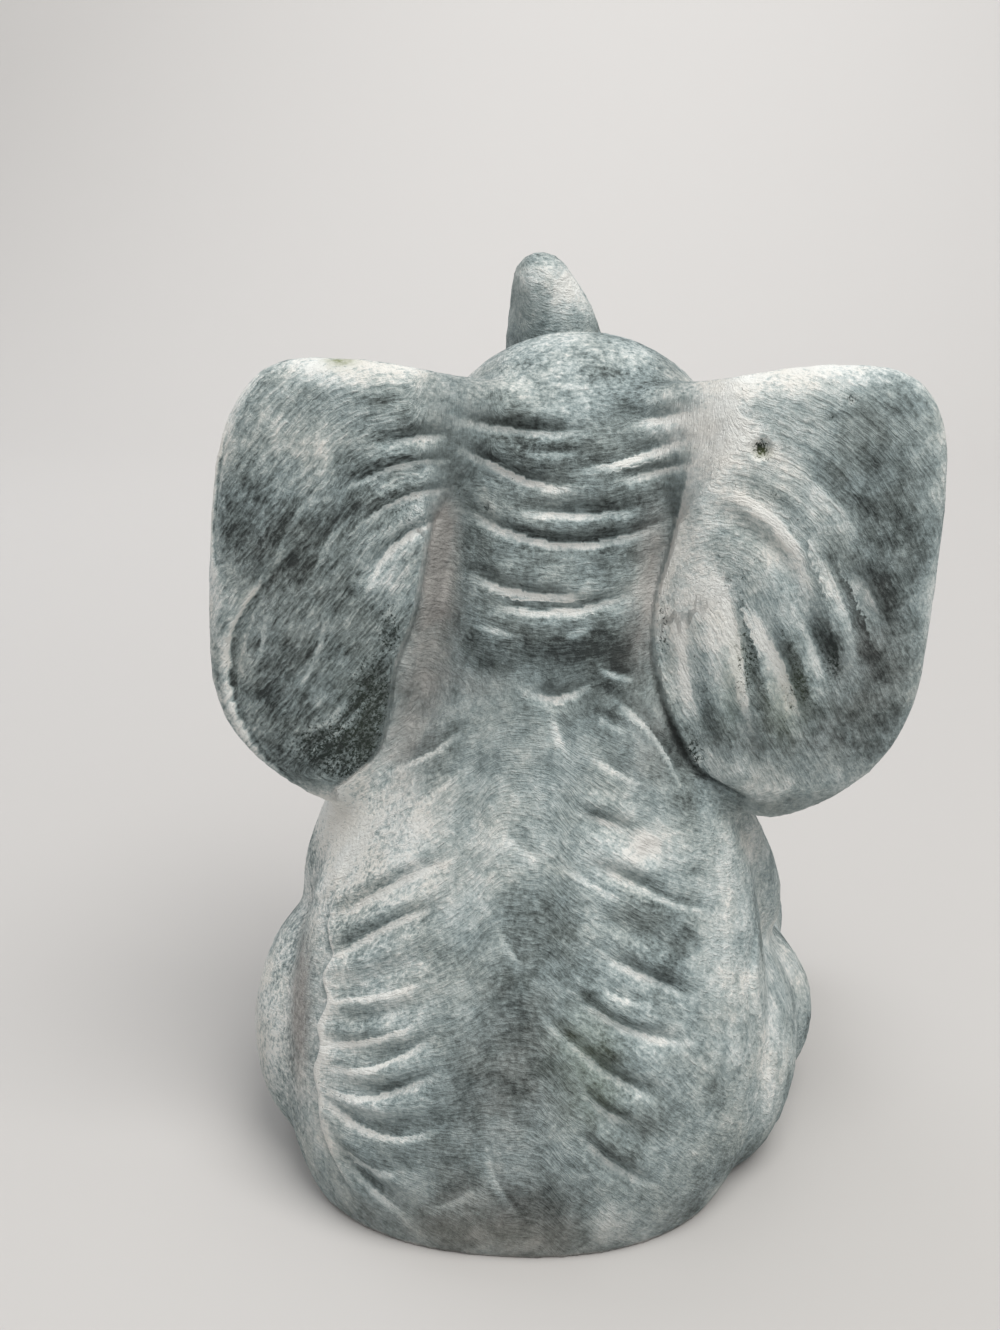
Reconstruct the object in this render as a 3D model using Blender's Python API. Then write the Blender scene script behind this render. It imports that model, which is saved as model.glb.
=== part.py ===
"""Seated elephant planter, cast in concrete as one solid piece.

The elephant sits upright with its trunk raised and its ears spread, and holds
a round planting pot between its legs. It faces -Y, its back is towards +Y and
+X is its own left. It stands on a flat underside at Z = 0.
"""

import math

import bmesh
import bpy
import numpy as np
from mathutils import Matrix, Vector
from mathutils.bvhtree import BVHTree

# Driving sizes, in metres
FIGURE_HEIGHT = 0.140
POT_BORE_RADIUS = 0.0185
POT_BORE_DEPTH = 0.034
POT_FLOOR = 0.007
POT_WALL = 0.005
POT_BELLY = 0.0012
POT_FOOT_INSET = 0.003
POT_LIP_ROUND = 0.0018
BORE_CORNER_ROUND = 0.003
BORE_MOUTH_EASE = 0.0012
BORE_TO_BELLY = 0.0015
SUNK_BELOW_BASE = 0.004
CUTTER_OVERRUN = 0.012
POT_SIDES = 48

# The figure's proportions are written in 140ths of its height
PART = FIGURE_HEIGHT / 140

# The body and the head each have a middle of their own: the head leans to -X
BODY_X = 1.5
HEAD_X = -4.0
BELLY_FRONT_Y = -20.0

POT_OUTER_RADIUS = POT_BORE_RADIUS + POT_WALL
POT_HEIGHT = POT_FLOOR + POT_BORE_DEPTH
POT_CENTRE_Y = BELLY_FRONT_Y * PART - BORE_TO_BELLY - POT_BORE_RADIUS

# Ears: thickness, rounding of the rim and hollow of the front face
EAR_THICKNESS = 8.8
EAR_RIM_ROUND = 5.2
EAR_DISH = 3.2
EAR_MIDDLE = np.array((30.0, 108.0))

# Ear outlines as (outward from the head's middle, height), from the root over the top
LEFT_EAR = [
    (3, 123), (14, 126.0), (31.5, 129.0), (44, 127.5), (50.5, 118), (53.2, 101),
    (54.2, 85), (52.5, 73), (43.5, 63.5), (34.5, 59.0), (27.5, 64), (22.5, 78),
    (19.3, 92), (17.0, 105), (12.5, 110.5), (3, 112.5),
]
RIGHT_EAR = [
    (3, 123), (21, 126.5), (37, 129.0), (49.5, 127.0), (54.5, 117), (54.0, 97),
    (52.3, 79), (47.0, 68), (37, 60.8), (29, 59.5), (21.5, 66), (15.5, 80),
    (14.2, 94), (16.5, 106), (12.5, 111), (3, 112.5),
]
EAR_ROOT_OUT = 10.0

# Torso sections: (height, half width, back, front, sideways place)
TORSO = [
    (-7, 30.0, 36.5, BELLY_FRONT_Y, BODY_X + 1.5),
    (1, 34.3, 39.7, BELLY_FRONT_Y - 1, BODY_X + 1.3),
    (9, 37.2, 41.0, BELLY_FRONT_Y - 2, BODY_X + 0.7),
    (20, 38.3, 40.5, BELLY_FRONT_Y - 1, BODY_X),
    (32, 37.5, 37.5, BELLY_FRONT_Y, BODY_X - 0.5),
    (44, 35.0, 32.5, BELLY_FRONT_Y + 1, BODY_X - 1.0),
    (55, 31.5, 27.5, BELLY_FRONT_Y + 1.5, BODY_X - 2.0),
    (66, 26.5, 23.0, BELLY_FRONT_Y + 1.5, HEAD_X + 2.5),
    (78, 21.5, 19.5, BELLY_FRONT_Y + 1.5, HEAD_X + 2.0),
    (90, 18.5, 18.0, BELLY_FRONT_Y + 2, HEAD_X + 2.0),
    (103, 18.0, 16.0, BELLY_FRONT_Y + 2, HEAD_X + 1.0),
    (115, 17.0, 12.5, BELLY_FRONT_Y + 2, HEAD_X),
]
TORSO_SQUARENESS = 2.2

# Modelled skin: fineness, softening passes and triangles left before the pot is added
SKIN_STEP = 1.05
SKIN_SOFTENING = 13
SKIN_TRIANGLES = 8300

# Carved folds: groove half width, depth, and height of the lip as a share of the depth
FOLD_WIDTH = 1.4
FOLD_DEPTH = 1.1
FOLD_LIP = 0.5

CONCRETE_COLOUR = (0.33, 0.39, 0.40, 1.0)
CONCRETE_ROUGHNESS = 0.9
SMOOTH_ANGLE = math.radians(50)
WELD = 0.00002
SLIVER = 0.000001


def at(x, y, z):
    """A place on the figure, given in 140ths of its height."""
    return Vector((x, y, z)) * PART


def clear_scene():
    for found in list(bpy.data.objects):
        bpy.data.objects.remove(found)


def object_from(name, bm):
    """A new object with the mesh that bm holds."""
    mesh = bpy.data.meshes.new(name)
    bm.to_mesh(mesh)
    bm.free()
    made = bpy.data.objects.new(name, mesh)
    bpy.context.scene.collection.objects.link(made)
    return made


def apply_modifiers(target):
    bpy.context.view_layer.update()
    ready = target.evaluated_get(bpy.context.evaluated_depsgraph_get())
    mesh = bpy.data.meshes.new_from_object(ready)
    target.modifiers.clear()
    target.data = mesh


def smooth_curve(points, steps, closed=False):
    """Catmull-Rom curve through points, with steps samples to a span."""
    known = np.array(points, float)
    if closed:
        known = np.vstack([known[-1], known, known[:2]])
    else:
        known = np.vstack([2 * known[0] - known[1], known, 2 * known[-1] - known[-2]])
    t = np.linspace(0, 1, steps, endpoint=False)[:, None]
    spans = []
    for a, b, c, d in zip(known, known[1:], known[2:], known[3:]):
        spans.append(0.5 * (2 * b + (c - a) * t + (2 * a - 5 * b + 4 * c - d) * t**2
                            + (3 * b - a - 3 * c + d) * t**3))
    if not closed:
        spans.append(known[-2])
    return np.vstack(spans)


def bridge_rings(bm, rings):
    """Joins rings of equal length into one closed skin."""
    rows = [[bm.verts.new(point) for point in ring] for ring in rings]
    count = len(rows[0])
    for lower, upper in zip(rows, rows[1:]):
        for i in range(count):
            j = (i + 1) % count
            bm.faces.new((lower[i], lower[j], upper[j], upper[i]))
    bm.faces.new(list(reversed(rows[0])))
    bm.faces.new(rows[-1])


def ball(bm, centre, radii, turn_deg=0.0):
    """An ellipsoid, turned about X by turn_deg."""
    turn = Matrix.Rotation(math.radians(turn_deg), 4, "X")
    stretch = Matrix.Diagonal((*at(*radii), 1.0))
    place = Matrix.Translation(at(*centre)) @ turn @ stretch
    bmesh.ops.create_icosphere(bm, subdivisions=4, radius=1.0, matrix=place)


def limb(bm, stations, sides=20, steps=6):
    """A tapering round limb through stations of (x, y, z, radius), with round ends."""
    curve = smooth_curve(stations, steps)
    places, radii = curve[:, :3], curve[:, 3]
    tangents = np.gradient(places, axis=0)
    tangents /= np.linalg.norm(tangents, axis=1)[:, None]
    turns = np.linspace(0, 2 * math.pi, sides, endpoint=False)[:, None]
    cap_turns = np.linspace(1.45, 0.25, 4)
    across = np.cross(tangents[0], (0.31, 0.17, 0.94))
    rings = []

    def ring(place, tangent, radius):
        nonlocal across
        across = across - tangent * (across @ tangent)
        across /= np.linalg.norm(across)
        other = np.cross(tangent, across)
        circle = place + radius * (np.cos(turns) * across + np.sin(turns) * other)
        rings.append([at(*point) for point in circle])

    for turn in cap_turns:
        start = places[0] - tangents[0] * radii[0] * math.sin(turn)
        ring(start, tangents[0], radii[0] * math.cos(turn))
    for place, tangent, radius in zip(places, tangents, radii):
        ring(place, tangent, radius)
    for turn in reversed(cap_turns):
        end = places[-1] + tangents[-1] * radii[-1] * math.sin(turn)
        ring(end, tangents[-1], radii[-1] * math.cos(turn))
    bridge_rings(bm, rings)


def torso(bm, sides=48):
    """Rump, back and neck, lofted through level sections of rounded squares."""
    power = 2 / TORSO_SQUARENESS
    rings = []
    for z, wide, back, front, sideways in smooth_curve(TORSO, 4):
        ring = []
        for i in range(sides):
            turn = 2 * math.pi * i / sides
            c, s = math.cos(turn), math.sin(turn)
            x = wide * math.copysign(abs(c) ** power, c)
            y = (back - front) / 2 * math.copysign(abs(s) ** power, s)
            ring.append(at(sideways + x, (back + front) / 2 + y, z))
        rings.append(ring)
    bridge_rings(bm, rings)


def head(bm):
    """Skull and forehead, then ear webs, ear roots, cheeks and eyes on both sides."""
    ball(bm, (HEAD_X - 1.0, -6.0, 108.5), (23.5, 21.5, 22.5))
    ball(bm, (HEAD_X - 1.0, -14.0, 114.0), (17.5, 17.0, 15.0))
    for side in (-1, 1):
        ball(bm, (HEAD_X + side * 20.5, -5.0, 84.0), (13.5, 11.0, 31.0))
        ball(bm, (HEAD_X + side * 16.5, 5.0, 117.5), (13.5, 7.5, 8.0))
        ball(bm, (HEAD_X + side * 11.0, -19.0, 101.0), (10.5, 10.5, 11.0))
        ball(bm, (HEAD_X + side * 14.5, -24.5, 112.0), (4.2, 3.6, 3.4))
    ball(bm, (HEAD_X, -27.0, 90.5), (8.5, 10.5, 5.0), 20.0)


def trunk(bm):
    """The trunk, curled up before the face and leaning to +X at its tip."""
    limb(bm, [
        (HEAD_X, -20.0, 104.0, 13.0),
        (HEAD_X + 0.5, -33.0, 103.0, 12.0),
        (HEAD_X + 3.0, -43.0, 110.0, 10.6),
        (HEAD_X + 4.8, -46.5, 120.0, 9.0),
        (HEAD_X + 5.9, -45.0, 128.0, 7.6),
        (HEAD_X + 7.2, -42.0, 134.4, 5.2),
    ])


def ear(bm, side, outline):
    """One spread ear: a cupped shell, round at its free rim and dished in front."""
    rim = smooth_curve(outline, 5, closed=True)
    fine_rim = smooth_curve(outline, 20, closed=True)
    free_rim = fine_rim[fine_rim[:, 0] > EAR_ROOT_OUT]
    shares = np.sin(np.linspace(0.08, 1, 16) * math.pi / 2)

    def place(point, face):
        inward = math.sqrt(((free_rim - point) ** 2).sum(axis=1).min())
        rounding = 1 - min(1.0, inward / EAR_RIM_ROUND)
        depth = EAR_THICKNESS / 2 * math.sqrt(1 - rounding**2) + 0.05
        if face < 0:
            depth -= EAR_DISH * min(1.0, max(0.0, inward - 3) / 12)
        out, high = point
        bulge = 4.2 - 0.0052 * (out - 28) ** 2 - 0.0024 * (high - 98) ** 2
        return at(HEAD_X + side * out, 5.5 + 0.05 * out + bulge + face * depth, high)

    outlines = [[EAR_MIDDLE + share * (q - EAR_MIDDLE) for q in rim] for share in shares]
    rings = [[place(q, 1) for q in ring] for ring in outlines]
    rings += [[place(q, -1) for q in ring] for ring in reversed(outlines)]
    if side > 0:
        rings.reverse()
    bridge_rings(bm, rings)


def fore_leg(bm, side):
    """Front leg, hanging from the shoulder, with its foot laid against the pot."""
    foot_x = POT_OUTER_RADIUS / PART - 1.0
    foot_y = POT_CENTRE_Y / PART + 4.0
    limb(bm, [
        (BODY_X - 1.0 + side * 20.0, 3.0, 60.0, 10.5),
        (BODY_X - 1.0 + side * 25.5, -2.0, 49.5, 11.0),
        (BODY_X - 1.0 + side * 29.0, -9.0, 38.0, 11.0),
        (BODY_X + side * 28.5, -21.0, 31.5, 9.6),
        (BODY_X + side * foot_x, foot_y, 31.0, 8.8),
    ])


def hind_leg(bm, side):
    """Thigh and hind leg, stretched forward beside the pot, with three toenails."""
    leg_x = BODY_X + side * 31.0
    ball(bm, (BODY_X + 0.9 + side * 29.6, -2.0, 17.0 + side), (15.4, 25.0, 21.0), -6.0)
    limb(bm, [
        (leg_x, -12.0, 16.0, 16.5),
        (leg_x + side * 0.5, -30.0, 13.0, 14.0),
        (leg_x, -45.0, 11.5, 12.8),
        (leg_x, -52.0, 11.8, 13.6),
    ])
    ball(bm, (leg_x, -55.0, 12.2), (14.2, 7.5, 14.2))
    for turn in (-0.8, 0.0, 0.8):
        nail_x = leg_x + 8.6 * math.sin(turn)
        nail_z = 12.4 + 9.2 * math.cos(turn)
        ball(bm, (nail_x, -60.0, nail_z), (3.6, 3.6, 3.8))


def figure_forms():
    """All forms of the figure as overlapping closed skins in one object."""
    bm = bmesh.new()
    torso(bm)
    head(bm)
    trunk(bm)
    ear(bm, 1, LEFT_EAR)
    ear(bm, -1, RIGHT_EAR)
    ball(bm, (BODY_X, BELLY_FRONT_Y - 4.0, 10.0), (26.0, 9.0, 17.0))
    for side in (-1, 1):
        fore_leg(bm, side)
        hind_leg(bm, side)
    return object_from("elephant_planter", bm)


def fuse(figure):
    """Runs the forms together into one softened skin."""
    remesh = figure.modifiers.new("fuse", "REMESH")
    remesh.mode = "VOXEL"
    remesh.voxel_size = SKIN_STEP * PART
    soften = figure.modifiers.new("soften", "SMOOTH")
    soften.factor = 0.5
    soften.iterations = SKIN_SOFTENING
    apply_modifiers(figure)


def fan(count, first, last):
    """Strokes spread evenly from the first to the last."""
    first, last = np.array(first), np.array(last)
    return [first + (last - first) * i / (count - 1) for i in range(count)]


# Folds as seen from behind: start (x, height), end (x, height) and bow, which
# is the sag below the straight line when drawn from +X to -X
NECK_FOLDS = [
    (12.0, 121.0, -7.0, 119.7, 1.5),
    (11.0, 116.0, -6.0, 112.0, 1.6),
    (11.0, 107.0, -19.5, 106.3, 3.3),
    (2.5, 108.4, -14.5, 108.8, 0.3),
    (9.5, 98.2, -6.0, 96.5, 1.0),
    (9.5, 94.0, -15.5, 95.7, 0.9),
    (1.0, 82.3, -7.5, 83.2, 1.5),
    *fan(3, (-12.0, 120.5, -22.5, 122.6, 0.5), (-11.0, 112.5, -21.5, 115.2, 0.4)),
]
EAR_FOLDS = [
    *fan(4, (23.0, 117.0, 12.5, 118.4, -0.6), (25.0, 97.0, 13.5, 106.5, -1.6)),
    (46.8, 77.0, 34.0, 103.0, -3.2),
    *fan(4, (-44.0, 102.0, -50.5, 90.5, 0.4), (-27.5, 85.5, -33.5, 69.0, 0.8)),
    (-23.4, 109.4, -39.0, 94.0, -3.0),
]
FLANK_FOLDS = [
    *fan(7, (31.0, 44.0, 12.0, 57.5, -0.6), (31.0, 20.5, 12.0, 23.5, 2.2)),
    (29.0, 13.5, 15.0, 8.0, 0.8),
    *fan(4, (-6.0, 64.5, -16.0, 61.0, -0.2), (-11.0, 46.0, -25.0, 38.5, 0.5)),
    *fan(4, (-5.0, 42.0, -23.5, 33.0, 1.8), (-8.0, 22.0, -19.0, 12.0, 1.0)),
]


def stroke_on_skin(tree, stroke, steps=12):
    """Where a stroke drawn from behind meets the skin: share, point and direction."""
    x0, z0, x1, z1, bow = stroke
    length = math.hypot(x1 - x0, z1 - z0)
    found = []
    for i in range(steps + 1):
        t = i / steps
        sag = bow * 4 * t * (1 - t) / length
        x = x0 + (x1 - x0) * t - (z1 - z0) * sag
        z = z0 + (z1 - z0) * t + (x1 - x0) * sag
        point, normal, _, _ = tree.ray_cast(at(x, 100, z), Vector((0, -1, 0)))
        if point is not None:
            found.append((t, np.array(point), np.array(normal)))
    return found


def carve(figure, strokes):
    """Presses a tapering groove along each stroke and raises a lip above it."""
    mesh = figure.data
    count = len(mesh.vertices)
    places = np.array([vertex.co for vertex in mesh.vertices])
    facing = np.array([vertex.normal for vertex in mesh.vertices])
    bm = bmesh.new()
    bm.from_mesh(mesh)
    tree = BVHTree.FromBMesh(bm)
    bm.free()
    width = FOLD_WIDTH * PART
    shift = np.zeros(count)
    for stroke in strokes:
        found = stroke_on_skin(tree, stroke)
        nearest = np.full(count, np.inf)
        above = np.zeros(count, bool)
        along = np.zeros(count)
        for (t0, p0, n0), (t1, p1, _) in zip(found, found[1:]):
            span = p1 - p0
            share = np.clip((places - p0) @ span / (span @ span), 0, 1)
            away = places - p0 - share[:, None] * span
            gap = np.linalg.norm(away, axis=1)
            upward = np.cross(span, n0)
            upward *= math.copysign(1, upward[2])
            closer = gap < nearest
            nearest[closer] = gap[closer]
            above[closer] = away[closer] @ upward > 0
            along[closer] = t0 + share[closer] * (t1 - t0)
        fade = np.clip(np.sin(math.pi * along), 0, 1) ** 0.8
        groove = -np.exp(-(nearest / width) ** 2)
        lip = FOLD_LIP * np.exp(-((nearest - 2.1 * width) / width) ** 2) * above
        shift += FOLD_DEPTH * PART * fade * (groove + lip)
    places += facing * shift[:, None]
    mesh.vertices.foreach_set("co", places.ravel())
    mesh.update()


def thin_out(figure):
    """Lowers the number of triangles while keeping the carved forms."""
    triangles = sum(len(face.vertices) - 2 for face in figure.data.polygons)
    lighten = figure.modifiers.new("lighten", "DECIMATE")
    lighten.ratio = SKIN_TRIANGLES / triangles
    apply_modifiers(figure)


def turned(name, profile):
    """A solid turned about the pot's axis from (radius, height) points, both ends on it."""
    bm = bmesh.new()
    points = [bm.verts.new((radius, 0, height)) for radius, height in profile]
    edges = [bm.edges.new(pair) for pair in zip(points, points[1:])]
    bmesh.ops.spin(bm, geom=points + edges, cent=(0, 0, 0), axis=(0, 0, 1),
                   angle=2 * math.pi, steps=POT_SIDES, use_merge=True)
    bmesh.ops.remove_doubles(bm, verts=bm.verts, dist=WELD)
    bmesh.ops.recalc_face_normals(bm, faces=bm.faces)
    made = object_from(name, bm)
    made.location = (BODY_X * PART, POT_CENTRE_Y, 0)
    return made


def quarter_turns(count=4):
    return [math.radians(90 * i / (count - 1)) for i in range(count)]


def pot_body():
    """The pot's outer form: a slight belly, a drawn-in foot and a rounded lip."""
    foot = POT_OUTER_RADIUS - POT_FOOT_INSET
    shoulder = POT_HEIGHT - POT_LIP_ROUND
    profile = [(0, -SUNK_BELOW_BASE), (foot, -SUNK_BELOW_BASE)]
    for share in np.linspace(0, 1, 9)[:-1]:
        bow = POT_BELLY * math.sin(math.pi * share)
        inset = POT_FOOT_INSET * (1 - share) ** 1.5
        profile.append((POT_OUTER_RADIUS - inset + bow, shoulder * share))
    for turn in quarter_turns():
        profile.append((POT_OUTER_RADIUS - POT_LIP_ROUND * (1 - math.cos(turn)),
                        shoulder + POT_LIP_ROUND * math.sin(turn)))
    profile.append((0, POT_HEIGHT))
    return turned("pot_body", profile)


def pot_bore():
    """The planting hollow, with a rounded floor corner and an eased mouth."""
    profile = [(0, POT_FLOOR)]
    for turn in quarter_turns():
        profile.append((POT_BORE_RADIUS - BORE_CORNER_ROUND * (1 - math.sin(turn)),
                        POT_FLOOR + BORE_CORNER_ROUND * (1 - math.cos(turn))))
    mouth = POT_BORE_RADIUS + BORE_MOUTH_EASE
    profile.append((POT_BORE_RADIUS, POT_HEIGHT - BORE_MOUTH_EASE))
    profile.append((mouth, POT_HEIGHT))
    profile.append((mouth, POT_HEIGHT + CUTTER_OVERRUN))
    profile.append((0, POT_HEIGHT + CUTTER_OVERRUN))
    return turned("pot_bore", profile)


def ground_block():
    """All that lies below the underside."""
    width = 2 * FIGURE_HEIGHT + 4 * POT_OUTER_RADIUS
    depth = FIGURE_HEIGHT / 4
    bm = bmesh.new()
    size = Matrix.Diagonal((width, width, depth, 1.0))
    place = Matrix.Translation((0, 0, -depth / 2)) @ size
    bmesh.ops.create_cube(bm, size=1.0, matrix=place)
    return object_from("ground_block", bm)


def combine(target, tool, operation):
    """Joins or cuts target with tool, then removes the tool."""
    step = target.modifiers.new(operation.lower(), "BOOLEAN")
    step.operation = operation
    step.solver = "EXACT"
    step.object = tool
    apply_modifiers(target)
    bpy.data.objects.remove(tool)


def concrete():
    """Cast concrete with a blue-green patina."""
    made = bpy.data.materials.new("cast_concrete")
    made.use_nodes = True
    surface = made.node_tree.nodes["Principled BSDF"]
    surface.inputs["Base Color"].default_value = CONCRETE_COLOUR
    surface.inputs["Roughness"].default_value = CONCRETE_ROUGHNESS
    surface.inputs["Metallic"].default_value = 0.0
    return made


def finish(figure):
    """Tidies the skin that the cuts leave, then sets shading and material."""
    bm = bmesh.new()
    bm.from_mesh(figure.data)
    bmesh.ops.remove_doubles(bm, verts=bm.verts, dist=WELD)
    bmesh.ops.dissolve_degenerate(bm, edges=bm.edges, dist=SLIVER)
    bmesh.ops.triangulate(bm, faces=bm.faces)
    bm.to_mesh(figure.data)
    bm.free()
    figure.data.shade_smooth()
    figure.data.set_sharp_from_angle(angle=SMOOTH_ANGLE)
    figure.data.materials.clear()
    figure.data.materials.append(concrete())


def build():
    clear_scene()
    figure = figure_forms()
    fuse(figure)
    carve(figure, NECK_FOLDS + EAR_FOLDS + FLANK_FOLDS)
    thin_out(figure)
    combine(figure, pot_body(), "UNION")
    combine(figure, ground_block(), "DIFFERENCE")
    combine(figure, pot_bore(), "DIFFERENCE")
    finish(figure)


if __name__ == "__main__":
    build()
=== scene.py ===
import math

import bmesh
import bpy
import numpy as np
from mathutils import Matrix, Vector
from mathutils.bvhtree import BVHTree


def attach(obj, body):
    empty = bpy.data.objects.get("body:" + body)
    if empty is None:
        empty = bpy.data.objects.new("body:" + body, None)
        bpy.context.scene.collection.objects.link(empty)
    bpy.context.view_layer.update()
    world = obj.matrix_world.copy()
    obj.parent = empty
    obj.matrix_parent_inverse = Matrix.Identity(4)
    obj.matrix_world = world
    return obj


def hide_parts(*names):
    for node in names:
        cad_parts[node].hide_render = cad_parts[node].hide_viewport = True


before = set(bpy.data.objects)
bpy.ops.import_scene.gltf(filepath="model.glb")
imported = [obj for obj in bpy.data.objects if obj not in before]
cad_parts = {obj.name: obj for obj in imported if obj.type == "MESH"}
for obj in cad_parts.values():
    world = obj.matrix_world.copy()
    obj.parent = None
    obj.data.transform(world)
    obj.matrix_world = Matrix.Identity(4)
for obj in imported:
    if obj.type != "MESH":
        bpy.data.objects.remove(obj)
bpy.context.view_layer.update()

mm = 0.001

# What a user would change on the cast elephant. Lengths are in millimetres.
elephant = {
    "node": "elephant_planter",
    "skinStep": 0.52,         # fineness of the mesh that the folds are carved in
    "smoothPasses": 60,       # takes out the flats of the solid
    "triangles": 190000,      # what is kept after carving
    "foldWidth": 0.85,        # half width of a groove
    "foldDepth": 0.42,
    "foldLip": 0.5,           # height of the roll above a groove, as a share of its depth
    "foldReach": 4.5,         # how far from its line a fold shapes and colours the skin
    "gritSize": 1.0,
    "gritHeight": 0.1,
    "poreSpacing": 3.4,
    "poreDepth": 0.22,
    "seed": 4.0,
}

# The planting pot, whose rim and wall stay crisp. Lengths are in millimetres.
pot = {
    "x": 1.5,
    "y": -40.0,
    "wallReach": 24.5,
    "wallFoot": 6.5,
    "backLimit": -20.5,       # the body begins behind this
    "boreReach": 19.2,
    "boreFloor": 5.0,
    "boreTop": 44.0,
    "hold": 0.85,             # how firmly the smoothing leaves it alone
}

# Folds as seen from behind: start x and height, end x and height, sag, share of the full depth.
# A roll stands along the left-hand side of each one.
neckFolds = [
    (11.5, 121.0, -7.0, 119.8, 1.3, 0.9), (-13.5, 120.8, -22.5, 122.6, 0.3, 0.8),
    (2.5, 116.5, -6.5, 117.0, 0.3, 0.6), (-6.0, 114.5, -20.5, 118.5, 0.7, 1.0),
    (11.0, 117.0, -6.0, 112.0, 1.7, 1.1), (-11.5, 112.8, -21.5, 115.2, 0.4, 0.8),
    (3.0, 108.2, -14.5, 108.4, 0.4, 0.9), (11.0, 107.4, -19.5, 106.5, 3.4, 1.1),
    (9.8, 98.4, -6.5, 96.6, 1.1, 1.0), (6.6, 94.4, -12.6, 95.6, 1.1, 0.9),
    (8.2, 91.4, 2.8, 90.6, 0.2, 0.7), (-4.0, 91.0, -8.4, 92.2, 0.3, 0.5), (0.8, 82.2, -7.5, 83.2, 1.5, 0.9),
    (-3.0, 79.5, -5.3, 73.0, 0.2, 0.7), (22.0, 67.0, 10.0, 76.2, 0.4, 1.0),
    (17.5, 64.0, 8.5, 72.0, 0.3, 0.4), (-9.5, 86.0, -14.5, 83.6, 0.3, 0.8),
    (-11.0, 81.5, -22.5, 66.0, -1.6, 1.0), (-9.0, 79.0, -14.5, 76.0, 0.2, 0.7),
    (-9.3, 73.0, -15.0, 69.3, 0.2, 0.8),
]
leftEarFolds = [
    (22.5, 117.2, 12.5, 118.4, -0.6, 0.9), (28.0, 110.8, 13.0, 115.2, -1.0, 1.1),
    (26.5, 105.0, 12.5, 111.0, -1.3, 1.1), (24.5, 97.5, 14.5, 106.0, -1.4, 1.1),
    (42.5, 83.0, 40.5, 91.5, 0.4, 0.8), (35.5, 81.0, 31.5, 90.0, 0.5, 0.9),
    (34.5, 69.5, 24.0, 81.0, 0.8, 0.8), (33.0, 96.0, 25.5, 108.0, -1.6, 0.7),
    (38.5, 98.0, 32.0, 110.5, -1.0, 0.5), (32.5, 74.5, 27.5, 80.0, 0.3, 0.6),
]
rightEarFolds = [
    (-25.0, 112.6, -39.4, 95.0, -4.4, 0.8), (-44.8, 101.0, -50.3, 91.2, -0.6, 0.8),
    (-40.0, 103.4, -47.2, 85.4, -1.2, 1.0), (-38.0, 94.0, -42.6, 83.0, -0.5, 1.0),
    (-31.5, 94.0, -39.2, 76.4, -0.8, 1.3), (-26.3, 100.4, -31.9, 74.6, -0.8, 1.3),
    (-21.6, 94.0, -25.6, 73.0, 1.2, 0.9), (-30.0, 118.0, -45.5, 106.0, -1.8, 0.4),
]
flankFolds = [
    (31.0, 45.0, 11.5, 58.0, -0.6, 1.0), (30.5, 40.0, 13.5, 51.5, -0.8, 1.1),
    (31.0, 34.6, 13.5, 42.0, -0.2, 1.0), (31.0, 29.0, 15.5, 36.5, 0.8, 1.1),
    (30.5, 25.6, 13.5, 34.0, 1.0, 1.1), (30.5, 22.4, 12.5, 29.6, 1.6, 1.1),
    (31.0, 21.0, 12.0, 21.8, 3.0, 1.1), (29.5, 14.8, 17.0, 14.0, 1.6, 0.8),
    (27.0, 12.0, 17.0, 6.0, 0.4, 0.8), (13.5, 8.0, 7.0, 12.5, 0.3, 0.6),
    (3.5, 62.0, -1.2, 59.0, 0.2, 0.5), (-6.5, 65.8, -14.5, 62.3, 0.3, 0.8),
    (-5.0, 58.2, -14.8, 52.8, 0.2, 0.65), (-10.0, 57.8, -26.0, 49.8, 0.2, 0.8),
    (-11.5, 46.0, -24.0, 39.0, 0.2, 0.9), (-10.5, 42.2, -17.8, 39.0, 0.1, 0.7),
    (-7.0, 41.4, -24.0, 32.8, 1.4, 0.9), (-2.2, 39.5, -20.5, 25.0, 1.2, 0.9),
    (-8.5, 29.0, -16.5, 22.6, 1.2, 0.9), (-8.5, 21.8, -18.5, 12.6, 0.8, 0.8),
    (4.5, 19.0, 0.0, 8.8, 1.0, 0.6), (4.0, 49.4, 0.0, 44.2, 0.2, 0.6),
]

# Each group of folds on the back with its width, as a multiple of foldWidth
backFolds = [(neckFolds, 1.2), (leftEarFolds, 0.9), (rightEarFolds, 1.9), (flankFolds, 1.15)]

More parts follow.
